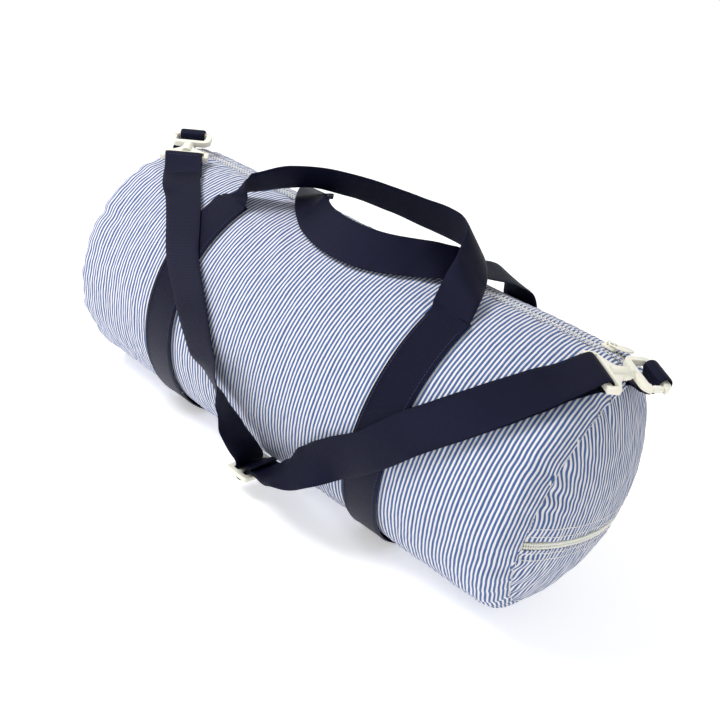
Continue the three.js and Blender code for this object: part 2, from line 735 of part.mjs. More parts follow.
function addStrap() {
  const leftTurn = turnRound(hookPlaces.left, -1);
  const rightTurn = turnRound(hookPlaces.right, -1);
  const tail = [at(-203, -67.5, 231.6, 0.7, 0.63, 0.34), at(-213, -59.8, 237.6, 0.75, 0.61, 0.27)];
  const layer = layerPitch / 2 + 0.1;
  const innerLeg = offsetLayer(rightLeg, layer);
  const outerLeg = offsetLayer(rightLeg, -layer);
  const run = [...tail, ...leftTurn, ...leftLeg, ...throughGlide, ...innerLeg,
    ...flipped([besideBar(hookPlaces.right, -4.6)])];
  addNode('shoulder_strap_run', ribbon(run, webbingWidth, 3), finishes.webbing);

  const loopedEnd = [
    byGlide(8.6, -2, 8, 0, 1, 0),
    byGlide(4.8, 0, 4.4, 0, 1, 0),
    byGlide(4.2, 0, 0, 0, 1, 0),
    byGlide(3, 0, -3, 0, 1, 0),
    byGlide(0, 0, -4.2, 0, 1, 0),
    byGlide(-3, 0, -3, 0, 1, 0),
    byGlide(-4.2, 0, 0, 0, 1, 0),
    byGlide(-3, 0, 3, 0, 1, 0),
    byGlide(0, 0, 4.4, 0, 1, 0),
    byGlide(5.5, -1, 9.2, 0, 1, 0),
    byGlide(18, -11, 17, 0, 1, 0),
  ];
  const back = flipped([...outerLeg].reverse());
  const turned = [besideBar(hookPlaces.right, -4.1), ...rightTurn];
  const returning = [...turned, ...back, ...loopedEnd];
  addNode('shoulder_strap_return', ribbon(returning, webbingWidth, 3), finishes.webbing);
}

function addGlide() {
  const halfY = webbingWidth / 2 + 1.2 + glideBar;
  const halfX = 13.5;
  const plate = roundedRect(-halfX, -halfY, halfX, halfY, 3.5);
  for (const side of [-1, 1]) {
    const inner = side * 2;
    const outer = side * (halfX - glideBar);
    plate.holes.push(roundedRect(Math.min(inner, outer), -halfY + glideBar,
      Math.max(inner, outer), halfY - glideBar, 1));
  }
  const glide = addNode('tri_glide', flatExtrude(plate, glideThickness), finishes.plastic);
  glide.position.copy(glideCentre);
}

addBarrel();
addTopZipper();
addTopSlider();
addEnds();
addPocket();
addHandles();
addHooks();
addStrap();
addGlide();

export default model;
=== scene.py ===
import json
import math
import bmesh
import bpy
import numpy as np
from mathutils import Matrix, Vector, noise

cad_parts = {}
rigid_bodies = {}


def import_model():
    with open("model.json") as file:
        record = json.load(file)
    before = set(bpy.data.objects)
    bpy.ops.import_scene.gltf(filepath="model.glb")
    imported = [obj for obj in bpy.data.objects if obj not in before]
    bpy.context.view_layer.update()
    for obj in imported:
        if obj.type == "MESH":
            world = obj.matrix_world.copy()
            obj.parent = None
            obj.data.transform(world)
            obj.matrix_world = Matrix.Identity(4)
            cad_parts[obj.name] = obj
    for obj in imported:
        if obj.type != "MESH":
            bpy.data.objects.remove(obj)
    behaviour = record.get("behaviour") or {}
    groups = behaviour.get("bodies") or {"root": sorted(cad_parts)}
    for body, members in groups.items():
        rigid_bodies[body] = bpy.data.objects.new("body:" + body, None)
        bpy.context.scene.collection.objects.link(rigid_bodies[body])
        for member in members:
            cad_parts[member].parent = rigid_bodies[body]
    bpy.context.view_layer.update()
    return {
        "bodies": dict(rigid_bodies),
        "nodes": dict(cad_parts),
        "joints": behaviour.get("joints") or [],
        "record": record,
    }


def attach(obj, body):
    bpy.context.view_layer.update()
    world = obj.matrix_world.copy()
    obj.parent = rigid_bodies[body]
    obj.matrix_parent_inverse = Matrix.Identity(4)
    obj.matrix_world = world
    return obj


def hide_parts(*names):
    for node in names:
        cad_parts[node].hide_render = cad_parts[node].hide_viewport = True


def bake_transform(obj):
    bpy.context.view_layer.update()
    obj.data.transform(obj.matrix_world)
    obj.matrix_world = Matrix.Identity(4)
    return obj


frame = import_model()
nodes = frame["nodes"]
mm = 0.001


# camera, above and in front of the pocket end and rolled to its right
cameraSetup = {
    "target": (0.0228, 0, 0.1233), "distance": 0.8424, "lens": 41.81,
    "azimuth": 30.50, "elevation": 22.36, "roll": 17.88,
}


def addCamera():
    data = bpy.data.cameras.new("camera")
    data.lens = cameraSetup["lens"]
    data.clip_start = 0.01
    camera = bpy.data.objects.new("camera", data)
    turn = Matrix.Rotation(math.radians(cameraSetup["azimuth"]), 4, "Z")
    turn @= Matrix.Rotation(math.radians(90 - cameraSetup["elevation"]), 4, "X")
    turn @= Matrix.Rotation(math.radians(cameraSetup["roll"]), 4, "Z")
    back = turn.to_3x3() @ Vector((0, 0, 1))
    camera.matrix_world = Matrix.Translation(Vector(cameraSetup["target"]) + back * cameraSetup["distance"]) @ turn
    bpy.context.scene.collection.objects.link(camera)
    bpy.context.scene.camera = camera


addCamera()
print("camera placed")


# colours and material nodes
def linear(hexColour):
    parts = [int(hexColour[k:k + 2], 16) / 255 for k in (1, 3, 5)]
    return tuple(c / 12.92 if c <= 0.04045 else ((c + 0.055) / 1.055) ** 2.4 for c in parts) + (1.0,)


def addNode(material, kind, settings=None, **inputs):
    # in0, in1 and so on are inputs by number, and any other key is an input by name
    node = material.node_tree.nodes.new(kind)
    for key, value in (settings or {}).items():
        setattr(node, key, value)
    for key, value in inputs.items():
        numbered = key.startswith("in") and key[2:].isdigit()
        place = node.inputs[int(key[2:])] if numbered else node.inputs[key.replace("_", " ")]
        if isinstance(value, bpy.types.NodeSocket):
            material.node_tree.links.new(value, place)
        else:
            place.default_value = value
    return node


def newMaterial(name, roughness, **surface):
    material = bpy.data.materials.new(name)
    material.use_nodes = True
    shader = material.node_tree.nodes["Principled BSDF"]
    shader.inputs["Roughness"].default_value = roughness
    for key, value in surface.items():
        shader.inputs[key.replace("_", " ")].default_value = value
    return material, shader


def join(material, value, place):
    material.node_tree.links.new(value, place)


seersuckerLook = {
    "blueDeep": "#2b4677", "blueLight": "#4e70a8", "whiteShade": "#c9c9d3", "white": "#f3efee",
    "stripePitch": 3.7 * mm, "stripeFrom": -0.38, "stripeTo": 0.28, "waver": 1.1,
    "puckerBump": (0.8, 1.1 * mm), "weaveBump": (0.25, 0.3 * mm),
    # each pattern's size across and along the stripes, then its scale and detail
    "patterns": {
        "waver": (4.545 * mm, 11.11 * mm, 1.0, 2.0), "yarns": (0.7 * mm, 16.67 * mm, 1.0, 3.0),
        "pucker": (3.7 * mm, 5.5 * mm, 1.35, 1.5), "weave": (0.7143 * mm, 0.7143 * mm, 1.0, 1.0),
    },
}


def cottonSeersucker():
    # woven cotton with slack white stripes, so it has no gloss and a crinkled face
    look = seersuckerLook
    material, shader = newMaterial("cottonSeersucker", 0.92, Sheen_Weight=0.12, Sheen_Roughness=0.5)
    uv = addNode(material, "ShaderNodeTexCoord").outputs["UV"]
    pattern = {}
    for key, (across, along, scale, detail) in look["patterns"].items():
        place = addNode(material, "ShaderNodeMapping", Vector=uv, Scale=(1 / across, 1 / along, 1))
        noiseNode = addNode(material, "ShaderNodeTexNoise", Vector=place.outputs[0], Scale=scale, Detail=detail)
        pattern[key] = noiseNode.outputs["Fac"]
    parts = addNode(material, "ShaderNodeSeparateXYZ", in0=uv)
    turn = addNode(material, "ShaderNodeMath", {"operation": "MULTIPLY"}, in0=parts.outputs[0],
                   in1=2 * math.pi / look["stripePitch"])
    shift = addNode(material, "ShaderNodeMath", {"operation": "MULTIPLY_ADD"}, in0=pattern["waver"],
                    in1=look["waver"], in2=turn.outputs[0])
    wave = addNode(material, "ShaderNodeMath", {"operation": "SINE"}, in0=shift.outputs[0])
    stripe = addNode(material, "ShaderNodeMapRange", in0=wave.outputs[0],
                     in1=look["stripeFrom"], in2=look["stripeTo"])
    shades = []
    for dark, light in (("whiteShade", "white"), ("blueDeep", "blueLight")):
        shades.append(addNode(material, "ShaderNodeMix", {"data_type": "RGBA"}, in0=pattern["yarns"],
                              in6=linear(look[dark]), in7=linear(look[light])).outputs[2])
    colour = addNode(material, "ShaderNodeMix", {"data_type": "RGBA"}, in0=stripe.outputs[0],
                     in6=shades[0], in7=shades[1])
    join(material, colour.outputs[2], shader.inputs["Base Color"])
    # pucker cells as wide as a stripe and a little longer, over the fine weave
    gathered = addNode(material, "ShaderNodeMath", {"operation": "MULTIPLY"}, in0=pattern["pucker"],
                       in1=stripe.outputs[0])
    strength, depth = look["puckerBump"]
    puckered = addNode(material, "ShaderNodeBump", Height=gathered.outputs[0], Strength=strength, Distance=depth)
    strength, depth = look["weaveBump"]
    woven = addNode(material, "ShaderNodeBump", Height=pattern["weave"], Strength=strength, Distance=depth,
                    Normal=puckered.outputs[0])
    join(material, woven.outputs[0], shader.inputs["Normal"])
    return material


webbingLook = {
    "navy": "#02030b", "ridge": "#090c26", "sheen": "#4a54a8", "gloss": "#b9bcff",
    "rib": 1.6 * mm, "cord": 1.9 * mm, "ribShare": 0.35, "fuzz": 1.111 * mm, "ribBump": (0.55, 0.4 * mm),
}


def polypropyleneWebbing():
    # tightly woven bright yarn, so the ribs catch a narrow violet-blue sheen
    look = webbingLook
    material, shader = newMaterial("polypropyleneWebbing", 0.46, Sheen_Weight=0.03, Sheen_Roughness=0.3,
                                   Sheen_Tint=linear(look["sheen"]), Specular_IOR_Level=0.24,
                                   Specular_Tint=linear(look["gloss"]))
    uv = addNode(material, "ShaderNodeTexCoord").outputs["UV"]
    parts = addNode(material, "ShaderNodeSeparateXYZ", in0=uv)
    across = addNode(material, "ShaderNodeMath", {"operation": "MULTIPLY"}, in0=parts.outputs[1],
                     in1=2 * math.pi / look["cord"])
    row = addNode(material, "ShaderNodeMath", {"operation": "SINE"}, in0=across.outputs[0])
    lift = addNode(material, "ShaderNodeMath", {"operation": "ABSOLUTE"}, in0=row.outputs[0])
    slant = addNode(material, "ShaderNodeMath", {"operation": "MULTIPLY_ADD"}, in0=parts.outputs[0],
                    in1=2 * math.pi / look["rib"], in2=row.outputs[0])
    ribs = addNode(material, "ShaderNodeMath", {"operation": "SINE"}, in0=slant.outputs[0])
    height = addNode(material, "ShaderNodeMath", {"operation": "MULTIPLY_ADD"}, in0=ribs.outputs[0],
                     in1=look["ribShare"], in2=lift.outputs[0])
    tone = addNode(material, "ShaderNodeMapRange", in0=height.outputs[0], in1=0.1, in2=1.25)
    place = addNode(material, "ShaderNodeMapping", Vector=uv, Scale=(1 / look["fuzz"], 1 / look["fuzz"], 1))
    fuzz = addNode(material, "ShaderNodeTexNoise", Vector=place.outputs[0], Scale=1.0, Detail=2.0)
    # painted shade in the grooves between ribs and painted highlight on the rib tops, times a random fuzz of yarn
    # tone
    ribShadeAndFuzz = addNode(material, "ShaderNodeMath", {"operation": "MULTIPLY"}, in0=tone.outputs[0],
                   in1=fuzz.outputs["Fac"])
    colour = addNode(material, "ShaderNodeMix", {"data_type": "RGBA"}, in0=ribShadeAndFuzz.outputs[0],
                     in6=linear(look["navy"]), in7=linear(look["ridge"]))
    join(material, colour.outputs[2], shader.inputs["Base Color"])
    strength, depth = look["ribBump"]
    ribbed = addNode(material, "ShaderNodeBump", Height=height.outputs[0], Strength=strength, Distance=depth)
    join(material, ribbed.outputs[0], shader.inputs["Normal"])
    return material


acetalLook = {
    "shade": "#e2dfcd", "ivory": "#f1efe4", "cloud": 11.11 * mm, "grain": 0.4545 * mm, "smooth": 0.3, "dull": 0.44,
}


def mouldedAcetal():
    # satin moulded acetal, faintly translucent, with a fine spark-eroded grain
    look = acetalLook
    material, shader = newMaterial("mouldedAcetal", 0.36, Subsurface_Weight=0.12, Subsurface_Scale=0.003,
                                   Specular_IOR_Level=0.5, IOR=1.48)
    place = addNode(material, "ShaderNodeTexCoord").outputs["Object"]
    cloud = addNode(material, "ShaderNodeTexNoise", Vector=place, Scale=1 / look["cloud"], Detail=2).outputs["Fac"]
    grain = addNode(material, "ShaderNodeTexNoise", Vector=place, Scale=1 / look["grain"], Detail=1).outputs["Fac"]
    colour = addNode(material, "ShaderNodeMix", {"data_type": "RGBA"}, in0=cloud,
                     in6=linear(look["shade"]), in7=linear(look["ivory"]))
    join(material, colour.outputs[2], shader.inputs["Base Color"])
    rough = addNode(material, "ShaderNodeMapRange", in0=cloud, in3=look["smooth"], in4=look["dull"])
    join(material, rough.outputs[0], shader.inputs["Roughness"])
    eroded = addNode(material, "ShaderNodeBump", Height=grain, Strength=0.12, Distance=0.08 * mm)
    join(material, eroded.outputs[0], shader.inputs["Normal"])
    return material


coilLook = {"shade": "#d6d9d0", "ivory": "#f0f0e8", "cloud": 3.333 * mm}


def nylonCoil():
    # drawn nylon monofilament, smooth and slightly glossy
    look = coilLook
    material, shader = newMaterial("nylonCoil", 0.42, Subsurface_Weight=0.1, Subsurface_Scale=0.001, IOR=1.53)
    place = addNode(material, "ShaderNodeTexCoord").outputs["Object"]
    cloud = addNode(material, "ShaderNodeTexNoise", Vector=place, Scale=1 / look["cloud"], Detail=1).outputs["Fac"]
    colour = addNode(material, "ShaderNodeMix", {"data_type": "RGBA"}, in0=cloud,
                     in6=linear(look["shade"]), in7=linear(look["ivory"]))
    join(material, colour.outputs[2], shader.inputs["Base Color"])
    drawn = addNode(material, "ShaderNodeBump", Height=cloud, Strength=0.1, Distance=0.1 * mm)
    join(material, drawn.outputs[0], shader.inputs["Normal"])
    return material


wavePeriod = 0.32  # a wave texture of scale 1 repeats at about this length


def wovenCloth(name, dark, light, pitch, roughness):
    # plain woven cloth: yarns cross at an even pitch and leave tiny shadowed holes
    material, shader = newMaterial(name, roughness, Sheen_Weight=0.1)
    place = addNode(material, "ShaderNodeTexCoord").outputs["Object"]
    warp, weft = (addNode(material, "ShaderNodeTexWave", {"bands_direction": way}, Vector=place,
                          Scale=wavePeriod / pitch, Distortion=0.6).outputs["Fac"] for way in "XZ")
    yarns = addNode(material, "ShaderNodeMath", {"operation": "MULTIPLY"}, in0=warp, in1=weft).outputs[0]
    colour = addNode(material, "ShaderNodeMix", {"data_type": "RGBA"}, in0=yarns,
                     in6=linear(dark), in7=linear(light))
    join(material, colour.outputs[2], shader.inputs["Base Color"])
    woven = addNode(material, "ShaderNodeBump", Height=yarns, Strength=0.3, Distance=0.2 * mm)
    join(material, woven.outputs[0], shader.inputs["Normal"])
    return material


seersucker = cottonSeersucker()
webbing = polypropyleneWebbing()
acetal = mouldedAcetal()
coilNylon = nylonCoil()
polyesterTape = wovenCloth("polyesterZipTape", "#c9cdc6", "#e6e9e3", 0.9 * mm, 0.8)
cottonLining = wovenCloth("cottonLining", "#cfccc5", "#eae7e0", 1.0 * mm, 0.95)
cottonThread = wovenCloth("cottonThread", "#dcdcdc", "#fbfbf8", 0.5 * mm, 0.8)
navyThread = wovenCloth("navyThread", "#15193f", "#2b3370", 0.5 * mm, 0.7)
print("materials made")


# mesh building
def meshPiece(name, points, faces, material, body, uvs=None, smooth=True):
    mesh = bpy.data.meshes.new(name)
    mesh.from_pydata([tuple(p) for p in points], [], [tuple(f) for f in faces])
    if uvs is not None:
        layer = mesh.uv_layers.new(name="cloth")
        loops = np.zeros(len(mesh.loops), np.int32)
        mesh.loops.foreach_get("vertex_index", loops)
        layer.data.foreach_set("uv", np.asarray(uvs, np.float32)[loops].ravel())
    tidy = bmesh.new()
    tidy.from_mesh(mesh)
    bmesh.ops.recalc_face_normals(tidy, faces=tidy.faces)
    tidy.to_mesh(mesh)
    tidy.free()
    mesh.polygons.foreach_set("use_smooth", [smooth] * len(mesh.polygons))
    mesh.materials.append(material)
    piece = bpy.data.objects.new(name, mesh)
    bpy.context.scene.collection.objects.link(piece)
    if body:
        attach(piece, body)
    return piece


def slabPiece(name, outer, inner, uv, material, body, ring=False):
    # outer and inner are equal grids of points; a ring closes its rows on themselves
    rows, columns = outer.shape[:2]
    count = rows * columns
    faces = []

    def at(side, i, j):
        return side * count + i * columns + (j % columns)

    spans = columns if ring else columns - 1
    for i in range(rows - 1):
        for j in range(spans):
            faces.append((at(0, i, j), at(0, i, j + 1), at(0, i + 1, j + 1), at(0, i + 1, j)))
            faces.append((at(1, i, j), at(1, i + 1, j), at(1, i + 1, j + 1), at(1, i, j + 1)))
    for j in range(spans):
        faces.append((at(0, 0, j), at(1, 0, j), at(1, 0, j + 1), at(0, 0, j + 1)))
        faces.append((at(0, rows - 1, j), at(0, rows - 1, j + 1), at(1, rows - 1, j + 1), at(1, rows - 1, j)))
    if not ring:
        last = columns - 1
        for i in range(rows - 1):
            faces.append((at(0, i, 0), at(0, i + 1, 0), at(1, i + 1, 0), at(1, i, 0)))
            faces.append((at(0, i, last), at(1, i, last), at(1, i + 1, last), at(0, i + 1, last)))
    points = np.concatenate([outer.reshape(-1, 3), inner.reshape(-1, 3)]) * mm
    flat = np.asarray(uv, float).reshape(-1, 2) * mm
    return meshPiece(name, points, faces, material, body, np.concatenate([flat, flat]))


def gridOf(rows, columns, cellAt):
    # cellAt gives the outer point, the inner point and the place on the cloth, in millimetres
    cells = [[cellAt(row, column) for column in columns] for row in rows]
    return [[[cell[k] for cell in row] for row in cells] for k in range(3)]


def roughly(x, y, seed, octaves=2):
    return noise.fractal(Vector((x, y, seed)), 0.9, 2.0, octaves)


# the barrel's own shape, in millimetres
bag = {
    "radius": 127, "halfLength": 273.6, "axisHeight": 121, "shoulder": 19.6, "seamInset": 14.5,
    "cloth": 2.0, "endBulge": 35, "rimRadius": 109.75, "slotHalf": 9.5,
    "bandOffset": 132.1, "webbingWidth": 38.1, "webbingThickness": 1.8, "bandGap": 1.1,
    "columns": 300, "rows": 260,
}
axis = bag["axisHeight"]


def radiusAt(x):
    past = abs(x) - (bag["halfLength"] - bag["shoulder"])
    if past <= 0:
        return bag["radius"]
    return bag["radius"] - bag["seamInset"] * min(past / bag["shoulder"], 1) ** 2.2


def floorUnderCloth(x):
    fromBand = abs(abs(x) - bag["bandOffset"]) - bag["webbingWidth"] / 2
    pressed = bag["webbingThickness"] + bag["bandGap"]
    return pressed * (1 - min(max((fromBand - 1) / 3, 0), 1))


def onBarrel(x, degrees, height, floor=0.0):
    r = radiusAt(x) + height
    a = math.radians(degrees)
    return (x, r * math.cos(a), max(axis + r * math.sin(a), floor))


def tuckWave(degrees, seed, count):
    # gathers along a seam: crests at uneven distances and of uneven height
    a = math.radians(degrees)
    turn = a * count + 2.4 * noise.noise(Vector((3 * math.cos(a), 3 * math.sin(a), seed)))
    tall = 0.55 + 0.9 * noise.noise(Vector((6 * math.cos(a), 6 * math.sin(a), seed + 4)))
    return tall * (0.5 + 0.5 * math.sin(turn)) ** 1.3


# depth and reach of each kind of crease in the barrel's cloth, in millimetres
creases = {
    "tucks": 40, "tuckDepth": 3.4, "tuckReach": 17,
    "longTucks": 17, "longDepth": 2.6, "longReach": 22, "longSpread": 38, "bandDent": 1.08, "bandReach": 9,
    "broadDepth": 2.4, "broadSize": (62, 70), "ringDepth": 0.75, "ringSize": (5.2, 30),
    "crinkleDepth": 0.42, "crinkleSize": (3.1, 7.5), "zipDepth": 0.9, "zipReach": 7, "seamRipple": 0.9, "rest": 0.2,
}


def barrelHeight(x, degrees):
    # how far the cloth stands from the plain barrel; nearly always inwards
    side = 1 if x > 0 else -1
    a = math.radians(degrees)
    arc = a * bag["radius"]
    fromSeam = bag["halfLength"] - abs(x)
    tuck = creases["tuckDepth"] * tuckWave(degrees, 11 * side, creases["tucks"])
    tuck *= math.exp(-fromSeam / creases["tuckReach"])
    spread = 0.5 + 0.5 * noise.noise(Vector((2.1 * math.cos(a), 2.1 * math.sin(a), 7 * side)))
    reach = creases["longReach"] + creases["longSpread"] * spread
    long = creases["longDepth"] * tuckWave(degrees, 23 * side, creases["longTucks"]) * math.exp(-fromSeam / reach)
    fromBand = abs(abs(x) - bag["bandOffset"]) - bag["webbingWidth"] / 2
    clear = min(max(fromBand / 10, 0), 1)
    dent = creases["bandDent"] * math.exp(-max(fromBand, 0) / creases["bandReach"])
    along, around = creases["broadSize"]
    broad = creases["broadDepth"] * abs(roughly(x / along, arc / around, 3.1))
    along, around = creases["ringSize"]
    ring = creases["ringDepth"] * roughly(x / along, arc / around, 8.7, 1)
    along, around = creases["crinkleSize"]
    crinkle = creases["crinkleDepth"] * roughly(x / along, arc / around, 1.7, 1)
    fromZip = abs(math.radians(degrees - 90)) * bag["radius"] - bag["slotHalf"]
    pulls = 0.5 + 0.5 * math.sin(x / 3.6 + 2.2 * noise.noise(Vector((x / 24, 0, 5))))
    zipPull = creases["zipDepth"] * math.exp(-fromZip / creases["zipReach"]) * pulls
    return -(tuck + long + broad * clear + dent + zipPull) + (ring + crinkle) * clear - creases["rest"]


def unit(v):
    return v / max(np.linalg.norm(v), 1e-9)


def addBarrel():
    end = bag["halfLength"]
    xs = np.linspace(-end, end, bag["columns"])
    halfSlot = math.degrees(bag["slotHalf"] / bag["radius"])
    angles = np.linspace(90 + halfSlot, 450 - halfSlot, bag["rows"])
    # stripes keep their width where the cloth turns in to the seam
    along = [0.0]
    for before, after in zip(xs[:-1], xs[1:]):
        along.append(along[-1] + math.hypot(after - before, radiusAt(after) - radiusAt(before)))

    def clothAt(station, a):
        x, clothX = station
        high, floor = barrelHeight(x, a), floorUnderCloth(x)
        ripple = creases["seamRipple"] * tuckWave(a, 31, 40) * math.exp(-(end - abs(x)) / 9)
        slide = np.array([-math.copysign(ripple, x), 0, 0])
        outside = onBarrel(x, a, high, floor) + slide
        inside = onBarrel(x, a, high - bag["cloth"], floor + bag["cloth"]) + slide
        return outside, inside, (clothX, math.radians(a) * bag["radius"])

    outer, inner, uv = gridOf(zip(xs, along), angles, clothAt)
    # the cloth turns in to the seam at both ends
    for last, way in ((0, -1), (-1, 1)):
        outward = [unit(np.array([0, p[1], p[2] - axis])) for p in outer[last]]
        turned = [p + np.array([0.9 * way, 0, 0]) - 2.0 * o for p, o in zip(outer[last], outward)]
        spot = 0 if way < 0 else len(outer)
        outer.insert(spot, turned)
        inner.insert(spot, [p - 0.8 * o for p, o in zip(turned, outward)])
        uv.insert(spot, [(u + 2 * way, v) for u, v in uv[last]])
    piece = slabPiece("barrelCloth", np.array(outer), np.array(inner), uv, seersucker, "bag")
    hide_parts("barrel_panel")


addBarrel()
print("barrel sewn")


# end panels: puckered domes, the right one split by the pocket zipper
endPanel = {"puckers": 34, "puckerDepth": 4.4, "puckerReach": 30, "zipDrop": 13, "slotHalf": 4, "turnIn": 3}


def domeX(r):
    share = max(1 - (r / bag["rimRadius"]) ** 2, 0)
    return bag["halfLength"] - 0.4 + bag["endBulge"] * share ** 0.85


def domePoint(y, z, seed, zipLine=None):
    r = min(math.hypot(y, z), bag["rimRadius"])
    a = math.degrees(math.atan2(z, y))
    fromRim = bag["rimRadius"] - r
    pucker = endPanel["puckerDepth"] * tuckWave(a, seed, endPanel["puckers"])
    pucker *= math.exp(-fromRim / endPanel["puckerReach"] * 2.2) * min(fromRim / 2.5, 1)
    broad = 1.5 * abs(roughly(y / 55, z / 42, seed + 2)) * min(fromRim / 20, 1)
    crinkle = 0.5 * roughly(y / 3.2, z / 9, seed + 1, 1)
    if zipLine is not None:
        pulls = 0.5 + 0.5 * math.sin(y / 3.1 + 2.4 * noise.noise(Vector((y / 18, seed, 0))))
        pucker += math.exp(-abs(z - zipLine) / 12) * pulls
    return domeX(r) - pucker - broad + crinkle - 0.3


def addEndPanel(name, side, seed, part, node):
    # part is 0 for the whole disc, 1 for above the pocket zipper and -1 for below it
    rim = bag["rimRadius"]
    line = -endPanel["zipDrop"] + part * endPanel["slotHalf"]
    low = math.degrees(math.asin(line / rim))
    angles = {0: np.linspace(0, 360, 241)[:-1], 1: np.linspace(low, 180 - low, 221),
              -1: np.linspace(low, -180 - low, 181)}[part]
    rims = [(rim * math.cos(math.radians(a)), rim * math.sin(math.radians(a))) for a in angles]
    starts = [(0.965 * y, line) if part else (0.0, 0.0) for y, z in rims]
    shares = np.concatenate([np.linspace(0.004, 0.8, 34), np.linspace(0.82, 1, 16)])

    def clothAt(t, spoke):
        (y0, z0), (y1, z1) = spoke
        y, z = y0 + (y1 - y0) * t, z0 + (z1 - z0) * t
        x = domePoint(y, z, seed, line if part else None)
        return (side * x, y, axis + z), (side * (x - bag["cloth"]), y * 0.998, axis + z), (y, z)

    outer, inner, uv = gridOf(shares, list(zip(starts, rims)), clothAt)
    # the rim turns in behind the barrel's seam
    for layer in (outer, inner):
        layer.append([(side * (abs(p[0]) - endPanel["turnIn"]), p[1], p[2]) for p in layer[-1]])
    uv.append(list(uv[-1]))
    piece = slabPiece(name, np.array(outer), np.array(inner), uv, seersucker, "bag", ring=part == 0)
    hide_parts(node)


addEndPanel("endClothLeft", -1, 5.0, 0, "end_panel_left")
addEndPanel("endClothRightUpper", 1, 9.0, 1, "end_panel_right_upper")
addEndPanel("endClothRightLower", 1, 9.0, -1, "end_panel_right_lower")
print("end panels sewn")


# zippers
zipper = {
    "pitch": 1.9, "halfLength": 262, "coilWidth": 1.9, "pocketCoil": 3.2, "coilHeight": 2.4, "beadShare": 0.78,
    "facing": 6.6, "facingThickness": 1.4, "facingWrinkle": 0.35,
}


def facingStrip(name, yFrom, yTo, node):
    thick, wrinkle = zipper["facingThickness"], zipper["facingWrinkle"]
    end = bag["halfLength"] - 1

    def clothAt(x, t):
        y = yFrom + (yTo - yFrom) * t
        thinned = 0.45 * thick * abs(2 * t - 1) ** 6
        pulls = 0.5 + 0.5 * math.sin(x / 2.7 + yFrom + 2 * noise.noise(Vector((x / 20, yFrom, 0))))
        a = 90 - math.degrees(y / bag["radius"])
        outside = onBarrel(x, a, -0.2 - thinned - wrinkle * pulls)
        return outside, onBarrel(x, a, -0.2 - thick + thinned), (x, y)

    shares = (0, 0.04, 0.12, 0.3, 0.5, 0.7, 0.88, 0.96, 1)
    outer, inner, uv = gridOf(np.linspace(-end, end, 260), shares, clothAt)
    piece = slabPiece(name, np.array(outer), np.array(inner), uv, seersucker, "bag")
    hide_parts(node)


def toothPoints(centre, along, across, up, size):
    # one turn of the coil: a squarish bead with its corners taken off
    length, width, height = size
    points = []
    for level, grow in ((-0.5, 0.7), (-0.2, 1.0), (0.2, 1.0), (0.5, 0.6)):
        for i, j in ((-1, -0.6), (-0.6, -1), (0.6, -1), (1, -0.6), (1, 0.6), (0.6, 1), (-0.6, 1), (-1, 0.6)):
            raised = up * (level * height)
            points.append(centre + along * (i * length / 2 * grow) + across * (j * width / 2 * grow) + raised)
    return points


def toothFaces(start):
    faces = [tuple(start + 7 - k for k in range(8)), tuple(start + 24 + k for k in range(8))]
    for level in range(3):
        for k in range(8):
            a, b = start + 8 * level + k, start + 8 * level + (k + 1) % 8
            faces.append((a, b, b + 8, a + 8))
    return faces


def coilPiece(name, places, width, node):
    size = (zipper["pitch"] * zipper["beadShare"], width, zipper["coilHeight"])
    points, faces = [], []
    for centre, along, across, up in places:
        faces += toothFaces(len(points))
        points += [p * mm for p in toothPoints(centre, along, across, up, size)]
    piece = meshPiece(name, points, faces, coilNylon, "bag")
    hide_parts(node)


def addTopZipper():
    x, y, z = np.eye(3)
    for name, side in (("front", -1), ("rear", 1)):
        edge = bag["slotHalf"] - 0.35
        facingStrip("zipFacing_" + name, side * (edge - zipper["facing"]), side * edge, "zip_facing_" + name)
        offset = 0 if side < 0 else zipper["pitch"] / 2
        a = 90 - math.degrees(side * (0.2 + zipper["coilWidth"] / 2) / bag["radius"])
        depth = 0.8 + zipper["coilHeight"] / 2
        places = [(np.array(onBarrel(s + offset, a, -depth)), x, y, z)
                  for s in np.arange(-zipper["halfLength"], zipper["halfLength"] - 1, zipper["pitch"])]
        coilPiece("topCoil_" + name, places, zipper["coilWidth"] + 0.5, "top_zip_coil_" + name)


def addPocketZipper():
    for name, side in (("upper", 1), ("lower", -1)):
        places = []
        offset = 0 if side < 0 else zipper["pitch"] / 2
        z = -endPanel["zipDrop"] + side * (0.1 + zipper["pocketCoil"] / 2)
        for y in np.arange(-108.5, 107, zipper["pitch"]) + offset:
            r = math.hypot(y, z)
            slope = (domeX(r + 1) - domeX(r - 1)) / 2 * y / max(r, 1)
            along, up = unit(np.array([slope, 1, 0])), unit(np.array([1, -slope, 0]))
            centre = np.array([domeX(r), y, axis + z]) - up * (0.5 + zipper["coilHeight"] / 2)
            places.append((centre, along, np.array([0, 0, 1.0]), up))
        coilPiece("pocketCoil_" + name, places, zipper["pocketCoil"], "pocket_zip_coil_" + name)


addTopZipper()
addPocketZipper()
print("zippers sewn")


